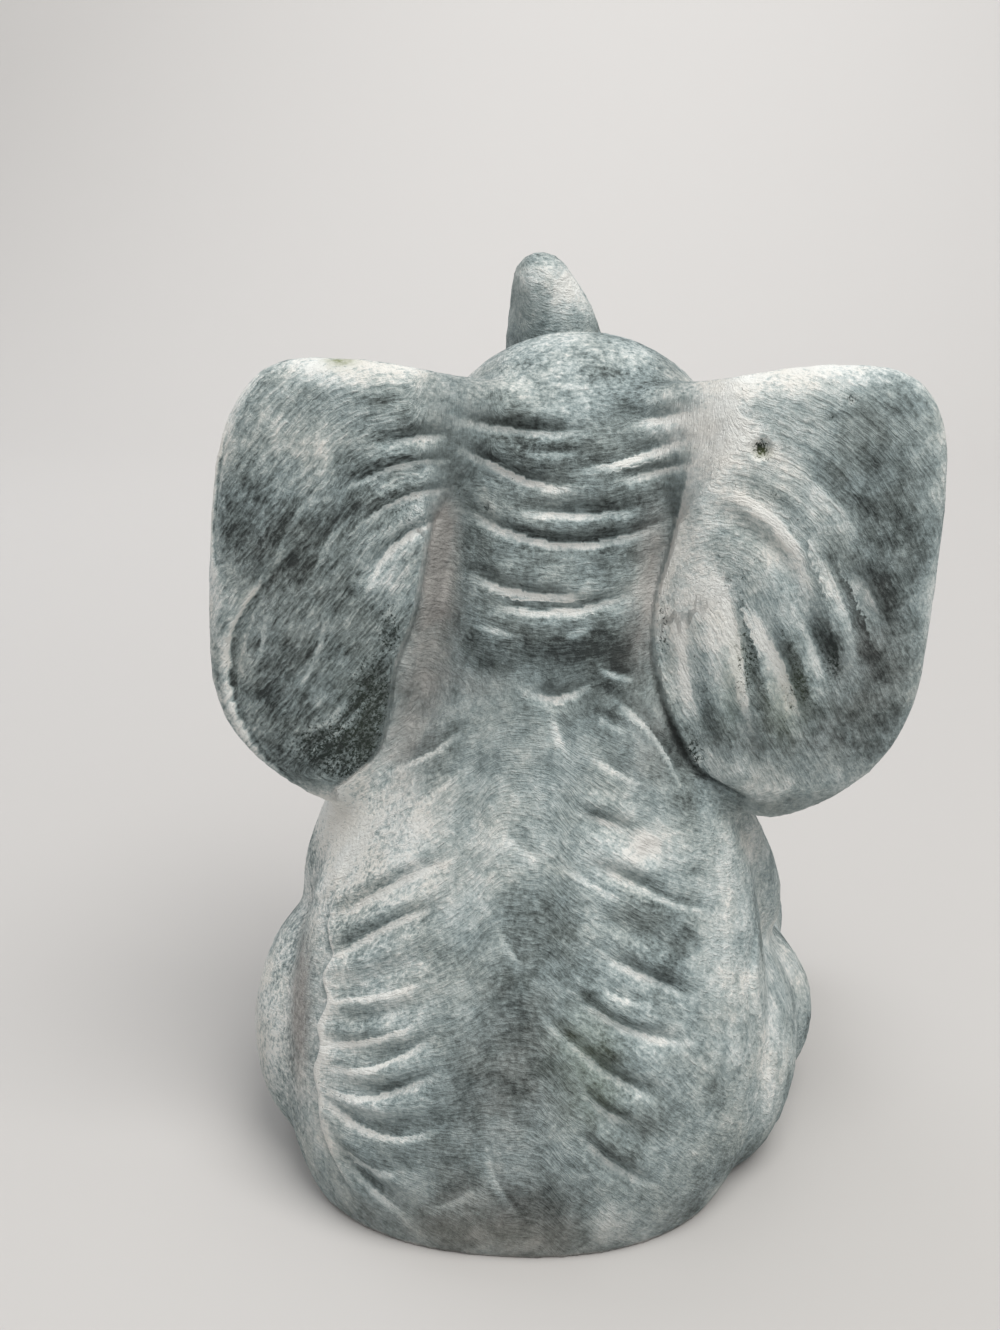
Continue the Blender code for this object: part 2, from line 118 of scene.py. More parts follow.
# Plainer folds that the photo doesn't show, as seen from each side: trunk rings, mouth, eyelids
hiddenFolds = {
    "front": [
        (-11.5, 101.5, 5.0, 101.5, -2.0, 0.7), (-11.5, 106.0, 6.5, 106.0, -2.0, 0.7),
        (-10.5, 110.5, 7.0, 110.5, -1.8, 0.7), (-8.5, 115.0, 7.3, 115.0, -1.6, 0.7),
        (-7.0, 119.5, 7.5, 119.5, -1.4, 0.6), (-5.5, 123.8, 7.5, 123.8, -1.2, 0.6),
        (-3.8, 128.0, 7.3, 128.0, -1.0, 0.5), (-10.0, 94.2, 2.0, 94.2, -1.6, 0.8),
        (-15.0, 74.0, 9.0, 74.0, -3.0, 0.5), (-18.0, 67.5, 12.0, 67.5, -4.0, 0.5),
        (-33.5, 19.0, -29.5, 21.5, 1.6, 0.6), (-28.5, 22.0, -24.0, 21.6, 1.6, 0.6),
        (24.0, 21.6, 28.5, 22.0, 1.6, 0.6), (29.5, 21.5, 33.5, 19.0, 1.6, 0.6),
    ],
    "left": [
        (-28.2, 111.8, -20.8, 111.8, 2.4, 0.9), (-20.8, 111.4, -28.2, 111.4, 2.0, 0.7),
        (-26.0, 106.5, -17.0, 108.0, -1.0, 0.5), (-36.0, 104.0, -30.0, 99.0, 0.6, 0.5),
    ],
    "right": [
        (-20.8, 111.8, -28.2, 111.8, -2.4, 0.9), (-28.2, 111.4, -20.8, 111.4, -2.0, 0.7),
        (-17.0, 108.0, -26.0, 106.5, 1.0, 0.5), (-30.0, 99.0, -36.0, 104.0, -0.6, 0.5),
    ],
}

# Where the ears grow out of the neck, as seen from behind: x and height
leftRoot = [(31, 63.5), (24.4, 69.5), (22.4, 75.5), (20.8, 84), (18.2, 91), (17, 96.5), (15.8, 103.4),
            (14.6, 108.6), (11.8, 114.5)]
rightRoot = [(-22.4, 119), (-20.6, 109), (-19.3, 102), (-17.6, 95), (-17.2, 87), (-19.2, 79),
             (-22, 72.5), (-25, 68), (-31, 64.5)]

# Creases where one form steps over another, the left-hand side standing proud:
# points, height of the step, wash with painted highlight on its edge, painted shade in its corner, reach of
# the wash
creases = {
    "leftEarRoot": (leftRoot, 0.6, 0.2, 0.0, 0.8),
    "rightEarRootUpper": (rightRoot[:5], 0.9, 0.85, 0.0, 2.2),
    "rightEarRootLower": (rightRoot[4:], 1.4, 0.3, 0.9, 0.9),
    "leftEarEdge": ([(46.5, 95.5), (48.2, 100.8), (47.7, 108.6), (46.5, 115.2), (44.9, 121.9),
                     (42.6, 127.6)], 0.5, 1.1, 0.1, 2.2),
    "leftEarRim": ([(36, 61.8), (41.5, 67), (44.8, 73), (46.4, 80), (46, 87), (43.1, 92.5),
                    (39.4, 97.3), (34.5, 103)], 1.3, 1.5, 0.5, 1.3),
    "bellyEdge": ([(30.4, 48), (31.2, 44), (30.0, 41), (31.4, 37.5), (30.4, 34.5), (31.8, 31), (31.4, 27.5),
                   (32.4, 24), (31.6, 20.5), (31, 15.5), (27.8, 9.5), (22.5, 4)], 1.0, 1.2, 0.3, 1.3),
    "leftShoulder": ([(37, 42), (30.5, 49), (28, 54), (22, 60.5), (18, 64)], 0.6, 0.5, 0.1, 0.9),
    "rightThigh": ([(-34.6, 43), (-33.6, 38), (-34, 32), (-35.5, 27)], 0.8, 0.2, 0.1, 0.8),
}

# Pits in the cast skin as seen from behind: x, height, radius, depth, darker specks in them
pits = [
    (-31.6, 117.6, 1.3, 1.0, 1.1), (-45.5, 129.5, 0.8, 0.5, 0.9), (-43.9, 124.6, 0.7, 0.4, 0.8),
    (-41.2, 122.0, 0.6, 0.35, 0.7), (-33.6, 110.6, 0.5, 0.35, 0.5), (-27.5, 98.5, 0.6, 0.4, 0.5),
    (7.4, 108.0, 0.5, 0.45, 0.9), (-17.6, 58.9, 1.5, 0.4, 0.0),
]


def toLinear(hexColour):  # sRGB hex to linear RGBA
    parts = [int(hexColour[i:i + 2], 16) / 255 for i in (1, 3, 5)]
    return (*[p / 12.92 if p <= 0.04045 else ((p + 0.055) / 1.055) ** 2.4 for p in parts], 1.0)


def addNode(tree, kind, inputs=None, **settings):  # a node with its settings, values and links
    node = tree.nodes.new(kind)
    for name, value in settings.items():
        setattr(node, name, value)
    for key, value in (inputs or {}).items():
        if isinstance(value, bpy.types.NodeSocket):
            tree.links.new(value, node.inputs[key])
        else:
            node.inputs[key].default_value = value
    return node


def bakedMesh(thing):  # the mesh after its modifiers
    bpy.context.view_layer.update()
    return bpy.data.meshes.new_from_object(thing.evaluated_get(bpy.context.evaluated_depsgraph_get()))


def meshPoints(mesh):
    points = np.empty(len(mesh.vertices) * 3)
    mesh.vertices.foreach_get("co", points)
    return points.reshape(-1, 3)


def meshNormals(mesh):
    normals = np.empty(len(mesh.vertices) * 3)
    mesh.vertices.foreach_get("normal", normals)
    return normals.reshape(-1, 3)


def setPoints(mesh, points):
    mesh.vertices.foreach_set("co", points.ravel())
    mesh.update()


def meltFlats(mesh, passes, hold):
    # Swelling and shrinking passes in turn smooth the flats without thinning the figure.
    points = meshPoints(mesh)
    edges = np.empty(len(mesh.edges) * 2, int)
    mesh.edges.foreach_get("vertices", edges)
    a, b = edges.reshape(-1, 2).T
    ends = np.concatenate([a, b])
    others = np.concatenate([b, a])
    near = np.bincount(ends, minlength=len(points))[:, None]
    free = (1 - hold)[:, None]
    for step in range(passes * 2):
        push = 0.55 if step % 2 == 0 else -0.57
        middle = np.stack([np.bincount(ends, points[others, i], len(points)) for i in range(3)], 1)
        points += push * free * (middle / near - points)
    points[:, 2] = np.maximum(points[:, 2], 0)
    setPoints(mesh, points)


def strokeLine(stroke, steps=14):
    # The points of a bowed stroke, from its start to its end.
    x0, z0, x1, z1, sag, _ = stroke
    length = math.hypot(x1 - x0, z1 - z0)
    line = []
    for i in range(steps + 1):
        t = i / steps
        bow = sag * 4 * t * (1 - t) / length
        line.append((x0 + (x1 - x0) * t - (z1 - z0) * bow, z0 + (z1 - z0) * t + (x1 - x0) * bow))
    return line


def roundedLine(points, steps=4):
    # A smooth line through the points of a crease.
    known = np.array(points, float)
    known = np.vstack([2 * known[0] - known[1], known, 2 * known[-1] - known[-2]])
    line = []
    for a, b, c, d in zip(known, known[1:], known[2:], known[3:]):
        for t in np.linspace(0, 1, steps, endpoint=False):
            line.append(0.5 * (2 * b + (c - a) * t + (2 * a - 5 * b + 4 * c - d) * t ** 2
                               + (3 * b - a - 3 * c + d) * t ** 3))
    return line + [known[-2]]


def onSkin(tree, line, side="back"):
    # Where a line drawn from one side meets the skin: share of its length, place and facing.
    axis, sign = {"back": (1, 1), "front": (1, -1), "left": (0, 1), "right": (0, -1)}[side]
    found = []
    for i, (across, z) in enumerate(line):
        start, aim = Vector((across * mm, across * mm, z * mm)), Vector()
        start[axis], aim[axis] = 0.1 * sign, -sign
        point, normal, _, _ = tree.ray_cast(start, aim)
        if point is not None:
            found.append((i / (len(line) - 1), np.array(point), np.array(normal)))
    return found


def foldField(points, traced, reach):
    # For each point: distance from the nearest fold, plus on its left-hand side and counted in
    # the fold's own width, and the fold's strength.
    gap = np.full(len(points), reach)
    strength = np.zeros(len(points))
    for found, share, wide in traced:
        line = np.array([p for _, p, _ in found])
        near = np.all((points > line.min(0) - reach * wide) & (points < line.max(0) + reach * wide), axis=1)
        some = points[near]
        nearest = np.full(len(some), reach)
        above = np.zeros(len(some), bool)
        along = np.zeros(len(some))
        for (t0, p0, n0), (t1, p1, _) in zip(found, found[1:]):
            span = p1 - p0
            part = np.clip((some - p0) @ span / (span @ span), 0, 1)
            away = some - p0 - part[:, None] * span
            far = np.linalg.norm(away, axis=1) / wide
            upward = np.cross(n0, span)
            closer = far < nearest
            nearest[closer] = far[closer]
            above[closer] = away[closer] @ upward > 0
            along[closer] = t0 + part[closer] * (t1 - t0)
        fade = share * np.clip(np.sin(math.pi * np.clip(along, 0.02, 0.98)), 0, 1) ** 0.6
        better = nearest < np.abs(gap[near])
        index = np.flatnonzero(near)[better]
        gap[index] = np.where(above[better], nearest[better], -nearest[better])
        strength[index] = fade[better]
    return gap, strength


def foldRelief(gap, strength, e):
    width = e["foldWidth"] * mm
    groove = -np.exp(-((gap - 0.1 * width) / width) ** 2)
    lip = np.where(gap > 0, e["foldLip"] * np.exp(-((gap - 2.3 * width) / (1.1 * width)) ** 2), 0)
    swell = np.where(gap < 0, 0.3 * np.exp(-((gap + 2.3 * width) / (1.2 * width)) ** 2), 0)
    return e["foldDepth"] * mm * strength * (groove + lip + swell)


def creaseRelief(gap, strength):
    # A step up to the raised side, with a thin groove at its foot.
    step = np.tanh(gap / (0.4 * mm)) * np.exp(-(gap / (2.8 * mm)) ** 2)
    foot = np.exp(-((gap + 0.3 * mm) / (0.6 * mm)) ** 2)
    return mm * strength * (0.5 * step - 0.15 * foot)


def pitRelief(points, normals, rows):
    depth = np.zeros(len(points))
    for x, z, radius, deep, _ in rows:
        away = np.hypot(points[:, 0] - x * mm, points[:, 2] - z * mm) / (radius * mm)
        facing = np.clip(normals[:, 1] * 3, 0, 1)
        depth -= deep * mm * facing * np.exp(-away ** 4)
        depth += 0.25 * deep * mm * facing * np.exp(-((away - 1.5) / 0.35) ** 2)
    return depth


def gritTree(e, material):
    # Geometry Nodes: sand grain and open pores pushed into the cast skin.
    tree = bpy.data.node_groups.new("castSandSkin", "GeometryNodeTree")
    sockets = tree.interface
    sockets.new_socket("Geometry", in_out="INPUT", socket_type="NodeSocketGeometry")
    for name in ("Grain size", "Grain height", "Pore spacing", "Pore depth", "Seed"):
        sockets.new_socket(name, in_out="INPUT", socket_type="NodeSocketFloat")
    sockets.new_socket("Geometry", in_out="OUTPUT", socket_type="NodeSocketGeometry")
    start = addNode(tree, "NodeGroupInput").outputs
    place = addNode(tree, "GeometryNodeInputPosition").outputs[0]
    facing = addNode(tree, "GeometryNodeInputNormal").outputs[0]
    inMm = addNode(tree, "ShaderNodeVectorMath", {0: place, "Scale": 1000.0}, operation="SCALE").outputs[0]
    grainScale = addNode(tree, "ShaderNodeMath", {0: 1.0, 1: start["Grain size"]}, operation="DIVIDE")
    grain = addNode(tree, "ShaderNodeTexNoise", {
        "Vector": inMm, "W": start["Seed"], "Scale": grainScale.outputs[0], "Detail": 3.0,
        "Roughness": 0.6}, noise_dimensions="4D").outputs[0]
    grainUp = addNode(tree, "ShaderNodeMapRange", {
        "Value": grain, "From Min": 0.3, "From Max": 0.7, "To Min": -1.0, "To Max": 1.0}).outputs[0]
    grainShift = addNode(tree, "ShaderNodeMath", {0: grainUp, 1: start["Grain height"]},
                         operation="MULTIPLY").outputs[0]
    poreScale = addNode(tree, "ShaderNodeMath", {0: 1.0, 1: start["Pore spacing"]}, operation="DIVIDE")
    pore = addNode(tree, "ShaderNodeTexVoronoi", {
        "Vector": inMm, "W": start["Seed"], "Scale": poreScale.outputs[0]},
        voronoi_dimensions="4D").outputs["Distance"]
    poreDown = addNode(tree, "ShaderNodeMapRange", {
        "Value": pore, "From Min": 0.08, "From Max": 0.24, "To Min": -1.0, "To Max": 0.0},
        interpolation_type="SMOOTHSTEP").outputs[0]
    poreShift = addNode(tree, "ShaderNodeMath", {0: poreDown, 1: start["Pore depth"]},
                        operation="MULTIPLY").outputs[0]
    both = addNode(tree, "ShaderNodeMath", {0: grainShift, 1: poreShift}, operation="ADD").outputs[0]
    height = addNode(tree, "ShaderNodeSeparateXYZ", {0: inMm}).outputs["Z"]
    offBase = addNode(tree, "ShaderNodeMapRange", {
        "Value": height, "From Min": 0.3, "From Max": 2.0}).outputs[0]
    kept = addNode(tree, "ShaderNodeMath", {0: both, 1: offBase}, operation="MULTIPLY").outputs[0]
    inMetres = addNode(tree, "ShaderNodeMath", {0: kept, 1: mm}, operation="MULTIPLY").outputs[0]
    shift = addNode(tree, "ShaderNodeVectorMath", {0: facing, "Scale": inMetres},
                    operation="SCALE").outputs[0]
    moved = addNode(tree, "GeometryNodeSetPosition", {
        "Geometry": start["Geometry"], "Offset": shift}).outputs[0]
    real = addNode(tree, "GeometryNodeRealizeInstances", {0: moved}).outputs[0]
    coated = addNode(tree, "GeometryNodeSetMaterial", {0: real}).outputs[0]
    coated.node.inputs["Material"].default_value = material
    addNode(tree, "NodeGroupOutput", {0: coated})
    values = {"Grain size": e["gritSize"], "Grain height": e["gritHeight"],
              "Pore spacing": e["poreSpacing"], "Pore depth": e["poreDepth"], "Seed": e["seed"]}
    return tree, values


def grit(thing, e, material):
    tree, values = gritTree(e, material)
    modifier = thing.modifiers.new("castSandSkin", "NODES")
    modifier.node_group = tree
    for item in tree.interface.items_tree:
        if item.in_out == "INPUT" and item.name in values:
            modifier[item.identifier] = values[item.name]
    mesh = bakedMesh(thing)
    thing.modifiers.clear()
    thing.data = mesh


# Brush strokes on the ears: straight at this angle, then bending level towards the head from
# the point given as reach along and across the strokes
brushBends = {"leftEar": (52.0, 1, 72.0, 80.0), "rightEar": (62.0, -1, 72.0, 68.0)}
neckArc = (-4.0, 172.0)  # the middle of the brush's arcs on the neck, as seen from behind

# Slope of the brush strokes on either side of the spine, by height
spineX = 1.0
brushSlope = {
    "height": [5, 12, 18, 25, 35, 50, 70],
    "left": [-0.6, -0.4, 0.0, 0.3, 0.5, 0.75, 1.0],
    "right": [0.9, 0.85, 0.8, 0.75, 0.6, 0.55, 0.9],
}

# Patches of the finish as seen from behind, partly stain and wash and partly painted light: the pale ones
# add painted highlight on the tops of the head, ears and arms, the dark ones painted shade on the lower and
# outer parts of the ears, the neck beside the
# right ear and the bottom. Columns: x, height, reach across, reach up, strength
palePatches = [
    (-25.5, 120.5, 4.5, 6.5, 1.4), (-4.0, 128.0, 20.0, 6.0, 0.1), (24.0, 129.5, 15.0, 4.0, 1.3),
    (-42.0, 128.0, 12.0, 4.0, 0.4), (-33.0, 104.0, 10.0, 16.0, 0.55), (-25.0, 88.0, 5.0, 16.0, 0.4),
    (31.0, 59.0, 9.0, 10.0, 1.6), (20.0, 58.0, 9.0, 9.0, 0.6), (40.0, 42.0, 8.0, 7.0, 0.5),
    (-33.0, 55.0, 7.0, 12.0, 0.5), (-17.0, 60.0, 3.2, 2.4, 1.3), (-12.0, 48.0, 7.0, 7.0, 0.35),
    (31.0, 32.0, 3.0, 14.0, 0.5),
    (22.0, 30.0, 9.0, 16.0, 0.25), (-37.0, 28.0, 8.0, 16.0, 0.7), (-20.0, 121.0, 4.0, 4.0, 1.0),
    (31.0, 9.0, 6.0, 8.0, 0.4), (5.0, 80.0, 5.0, 4.0, 0.3), (-2.5, 134.5, 5.0, 5.0, 1.5),
    (43.0, 22.0, 8.0, 14.0, 1.05), (-17.5, 101.0, 3.0, 12.0, 0.3),
    (-23.0, 104.0, 4.0, 13.0, 0.65), (0.0, 121.6, 9.0, 1.6, 0.3), (17.0, 104.0, 3.0, 8.0, 0.2),
    (24.0, 68.0, 4.0, 7.0, 0.3), (38.0, 62.5, 6.0, 3.0, 0.3), (-36.0, 68.0, 16.0, 4.0, 0.4),
    (6.0, 62.0, 10.0, 10.0, 0.2),
]
darkPatches = [
    (39.5, 127.3, 4.0, 2.2, 0.9), (36.0, 96.0, 12.0, 22.0, 0.35), (33.0, 74.0, 12.0, 10.0, 0.25),
    (-51.0, 86.0, 7.0, 20.0, 0.4), (-34.0, 74.0, 12.0, 5.0, 0.3), (-4.0, 89.0, 11.0, 4.5, 0.6),
    (-12.0, 80.0, 5.0, 9.0, 0.5), (2.0, 6.0, 30.0, 8.0, 0.3), (0.0, 24.0, 9.0, 20.0, 0.2),
    (-12.0, 33.0, 8.0, 10.0, 0.25), (37.5, 34.0, 4.0, 12.0, 0.3), (4.0, 115.0, 16.0, 8.0, 0.3),
    (-15.0, 110.0, 6.0, 7.0, 0.35), (1.0, 103.0, 12.0, 5.0, 0.25), (0.0, 70.0, 14.0, 5.0, 0.2),
    (-3.0, 138.5, 5.0, 3.5, 0.5), (27.0, 73.0, 5.0, 7.0, 0.3), (23.5, 84.0, 3.5, 9.0, 0.35),
]
barePatches = [
    (14.0, 106.0, 2.6, 6.0, 0.9), (15.0, 95.0, 4.0, 9.0, 1.0), (17.5, 80.0, 5.0, 10.0, 0.8),
    (21.0, 70.0, 4.0, 6.0, 0.6), (-17.0, 101.0, 3.0, 10.0, 0.9), (-15.0, 90.0, 3.5, 7.0, 0.6),
    (-17.0, 74.0, 4.5, 9.0, 0.5), (35.5, 30.0, 3.0, 14.0, 0.6), (3.0, 3.0, 36.0, 9.0, 0.7),
    (3.0, 26.0, 10.0, 20.0, 0.45), (36.0, 30.0, 4.0, 14.0, 0.5),
    (8.0, 82.0, 5.0, 3.0, 0.5), (-17.0, 60.0, 3.0, 2.2, 0.8),
    (40.0, 90.0, 12.0, 20.0, 0.3), (-48.0, 86.0, 9.0, 18.0, 0.4),
    (-33.0, 72.0, 12.0, 6.0, 0.4),
]
# Dark specks: mostly painted shade in the pockets by the ear roots and on the lower and outer ears, partly
# grime
shadeAndGrimePatches = [
    (21.4, 90.0, 1.8, 4.0, 0.7), (24.3, 80.0, 3.2, 6.5, 0.8), (29.0, 72.0, 6.0, 4.0, 0.8),
    (28.5, 67.3, 4.5, 2.4, 0.8), (36.0, 70.0, 5.0, 3.5, 0.35), (47.0, 125.5, 4.0, 3.0, 0.5),
    (-23.5, 70.5, 1.6, 4.0, 0.8), (-18.6, 90.0, 1.0, 8.0, 0.5), (-38.0, 82.0, 2.5, 5.0, 0.45),
    (-43.5, 86.0, 2.0, 5.0, 0.45), (-30.5, 86.0, 1.6, 8.0, 0.45),
    (-15.0, 79.0, 1.4, 1.4, 0.5), (-52.0, 108.0, 1.5, 8.0, 0.3),
]
sandyPatches = [
    (31.0, 57.0, 10.0, 11.0, 2.4), (41.0, 22.0, 9.0, 15.0, 2.0), (40.0, 43.0, 8.0, 8.0, 1.6),
]
mossPatches = [
    (28.5, 129.5, 2.0, 1.3, 2.6), (-9.0, 34.0, 4.5, 5.0, 0.35), (-11.0, 27.0, 4.0, 4.0, 0.3),
    (-31.8, 117.0, 1.3, 0.7, 0.9), (26.0, 76.0, 5.0, 8.0, 0.08), (4.0, 4.0, 14.0, 4.0, 0.15),
    (-37.0, 80.0, 3.0, 6.0, 0.35), (-29.0, 84.0, 2.0, 7.0, 0.35),
]


def softPatches(points, normals, rows):
    # Each patch stays on the ear or the body that its middle lies on.
    total = np.zeros(len(points))
    back = np.clip(normals[:, 1] * 2.5 + 0.6, 0, 1)
    left, right = earShares(points)
    homes = [left, right, 1 - np.clip(left + right, 0, 1)]
    for x, z, wide, high, strength in rows:
        away = ((points[:, 0] / mm - x) / wide) ** 2 + ((points[:, 2] / mm - z) / high) ** 2
        onLeft, onRight = earShares(np.array([(x * mm, 0, z * mm)]))
        home = homes[int(np.argmax([onLeft[0], onRight[0], 1 - onLeft[0] - onRight[0]]))]
        total += strength * np.exp(-away) * back * home
    return np.clip(total, 0, 3)


def smoothStep(value, low, high):
    t = np.clip((value - low) / (high - low), 0, 1)
    return t * t * (3 - 2 * t)


def rootX(root, z):
    # The x of an ear's root at each height.
    line = np.array(sorted(roundedLine(root), key=lambda p: p[1]))
    return np.interp(z, line[:, 1], line[:, 0])


def earShares(points):
    # How far each point belongs to the left ear and to the right ear, sharp at the root creases.
    x, z = points[:, 0] / mm, points[:, 2] / mm
    wide = np.interp(z, [64, 106, 118], [0.5, 0.5, 7.0])
    upper = smoothStep(z, 59, 66)
    left = upper * smoothStep(x - rootX(leftRoot, z), -wide, wide)
    right = upper * smoothStep(rootX(rightRoot, z) - x, -wide, wide)
    return left, right


def brushField(points):
    # Millimetres along and across the brush strokes, and how clear of a change of direction.
    x, z = points[:, 0] / mm, points[:, 2] / mm
    left, right = earShares(points)
    neck = smoothStep(z, 68, 90) * (1 - left) * (1 - right)
    weights = {"leftEar": left, "rightEar": right, "neck": neck}
    body = np.clip(1 - left - right - neck, 0, 1)
    out = np.sqrt((x - spineX) ** 2 + 4) - 2
    heights = brushSlope["height"]
    slope = np.where(x > spineX, np.interp(z, heights, brushSlope["left"]),
                     np.interp(z, heights, brushSlope["right"]))
    slope = slope * smoothStep(out, 0, 6)
    along, across = body * (x - spineX) * 1.3, body * (z + slope * out)
    for name, (angle, side, bend, middle) in brushBends.items():
        rise, run = math.sin(math.radians(angle)), math.cos(math.radians(angle))
        u, v = z * rise - side * x * run, side * x * rise + z * run - middle
        past = np.maximum(u - bend, 0)
        away = np.where(past > 0, np.hypot(past, v), v)
        along += weights[name] * (np.minimum(u, bend) + np.arctan2(past, np.abs(v) + 0.1) * 15)
        across += weights[name] * (away + middle)
    dx, dz = x - neckArc[0], z - neckArc[1]
    along += neck * np.arctan2(dx, -dz) * 60
    across += neck * np.hypot(dx, dz)
    clear = np.max([*weights.values(), body], axis=0)
    return along, across, smoothStep(clear, 0.85, 1.0)


def addMask(mesh, name, values):
    mesh.attributes.new(name, "FLOAT", "POINT").data.foreach_set("value", values.astype(np.float32))


def castCement():
    # Cast sand-and-cement concrete, rubbed with a blue-green stain and a chalky lime wash.
    # The casting gives the eye a dull sandy grain with small pores. Painted shade darkens the
    # hollows, and the wash, brushed on nearly dry, leaves hair-fine pale strokes and fills the folds, with
    # painted highlight on lips, tops and ear edges.
    material = bpy.data.materials.new("castCementLimeWash")
    material.use_nodes = True
    tree = material.node_tree
    tree.nodes.clear()
    objectPlace = addNode(tree, "ShaderNodeTexCoord").outputs["Object"]
    place = addNode(tree, "ShaderNodeMapping", {
        "Vector": objectPlace, "Scale": (1000, 1000, 1000)}).outputs[0]
    mask = {name: addNode(tree, "ShaderNodeAttribute", attribute_name=name).outputs["Fac"]
            for name in ("foldGap", "foldStrength", "along", "across", "hair", "pale", "dark", "bare",
                         "grimeAndShade", "moss", "speck")}
    depthY = addNode(tree, "ShaderNodeSeparateXYZ", {0: place}).outputs["Y"]

    # Noise from real sizes: clouds of stain 14 mm, blotches 4 mm, sand 0.8 mm
    cloud = addNode(tree, "ShaderNodeTexNoise", {
        "Vector": place, "Scale": 1 / 14, "Detail": 4.0, "Roughness": 0.6}).outputs[0]
    blotch = addNode(tree, "ShaderNodeTexNoise", {
        "Vector": place, "Scale": 1 / 4.0, "Detail": 5.0, "Roughness": 0.65, "Distortion": 0.4}).outputs[0]
    sand = addNode(tree, "ShaderNodeTexNoise", {
        "Vector": place, "Scale": 1 / 0.8, "Detail": 3.0, "Roughness": 0.75}).outputs[0]

    # Brush hairs: 4 mm long and 0.7 mm wide, and a finer set 2 mm by 0.36 mm
    wander = addNode(tree, "ShaderNodeMath", {0: blotch, 1: 1.6, 2: mask["across"]},
                     operation="MULTIPLY_ADD")
    hairs = {}
    for name, length, width, deep in (("broadHair", 4.0, 0.7, 1.6), ("fineHair", 2.0, 0.36, 0.9)):
        u = addNode(tree, "ShaderNodeMath", {0: mask["along"], 1: 1 / length}, operation="MULTIPLY")
        v = addNode(tree, "ShaderNodeMath", {0: wander.outputs[0], 1: 1 / width}, operation="MULTIPLY")
        w = addNode(tree, "ShaderNodeMath", {0: depthY, 1: 1 / deep}, operation="MULTIPLY")
        hairPlace = addNode(tree, "ShaderNodeCombineXYZ", {
            0: u.outputs[0], 1: v.outputs[0], 2: w.outputs[0]}).outputs[0]
        hairs[name] = addNode(tree, "ShaderNodeTexNoise", {
            "Vector": hairPlace, "Scale": 1.0, "Detail": 2.0, "Roughness": 0.6}).outputs[0]

    # Folds: a line of wash on the floor and the lower side, brightened there as a painted highlight where
    # the lower lip faces the light, and a band of painted shade on the upper side below the roll
    gapInMm = addNode(tree, "ShaderNodeMath", {0: mask["foldGap"], 1: 1000.0},
                      operation="MULTIPLY").outputs[0]
    gap = addNode(tree, "ShaderNodeMath", {0: blotch, 1: 0.8, 2: -0.4},
                  operation="MULTIPLY_ADD").outputs[0]
    gap = addNode(tree, "ShaderNodeMath", {0: gap, 1: gapInMm}, operation="ADD").outputs[0]
    gapShare = addNode(tree, "ShaderNodeMapRange", {
        "Value": gap, "From Min": -2.0, "From Max": 2.0}).outputs[0]
    foldWashAndShadeRamp = addNode(tree, "ShaderNodeValToRGB", {0: gapShare})
    ramp = foldWashAndShadeRamp.color_ramp
    for spot, level in ((0.12, 0.5), (0.24, 0.6), (0.34, 0.88), (0.45, 0.97), (0.53, 0.66), (0.6, 0.42),
                        (0.75, 0.45), (0.9, 0.5)):
        ramp.elements.new(spot).color = (level, level, level, 1)
    for end in (ramp.elements[0], ramp.elements[-1]):
        end.color = (0.5, 0.5, 0.5, 1)
    foldWashAndShade = addNode(tree, "ShaderNodeMath", {0: foldWashAndShadeRamp.outputs[0], 1: 0.5},
                        operation="SUBTRACT").outputs[0]
    foldWashAndShade = addNode(tree, "ShaderNodeMath", {0: foldWashAndShade, 1: mask["foldStrength"]},
                        operation="MULTIPLY").outputs[0]
    calm = addNode(tree, "ShaderNodeMapRange", {  # the line of wash hides the hairs and blotches
        "Value": foldWashAndShade, "From Min": 0.1, "From Max": 0.45, "To Min": 1.0, "To Max": 0.4}).outputs[0]

    # Tone: 0 is the darkest stain, 1 the thickest wash; painted shade and painted highlight are added into
    # it
    tone = addNode(tree, "ShaderNodeMath", {0: cloud, 1: 1.1, 2: -0.06},
                   operation="MULTIPLY_ADD").outputs[0]
    tone = addNode(tree, "ShaderNodeMath", {0: foldWashAndShade, 1: 0.75, 2: tone},
                   operation="MULTIPLY_ADD").outputs[0]
    grain = addNode(tree, "ShaderNodeMath", {0: mask["speck"], 1: 0.6, 2: 0.55},
                    operation="MULTIPLY_ADD")
    brushed = addNode(tree, "ShaderNodeMath", {0: mask["hair"], 1: calm},
                      operation="MULTIPLY").outputs[0]
    for layer, weight, share in ((blotch, 0.55, calm), (sand, 1.0, grain.outputs[0]),
                                 (hairs["broadHair"], 0.45, brushed), (hairs["fineHair"], 0.5, brushed)):
        centred = addNode(tree, "ShaderNodeMath", {0: layer, 1: 0.5}, operation="SUBTRACT").outputs[0]
        centred = addNode(tree, "ShaderNodeMath", {0: centred, 1: share}, operation="MULTIPLY").outputs[0]
        tone = addNode(tree, "ShaderNodeMath", {0: centred, 1: weight, 2: tone},
                       operation="MULTIPLY_ADD").outputs[0]
    for name, weight in (("pale", 0.4), ("dark", -0.4)):
        tone = addNode(tree, "ShaderNodeMath", {0: mask[name], 1: weight, 2: tone},
                       operation="MULTIPLY_ADD").outputs[0]

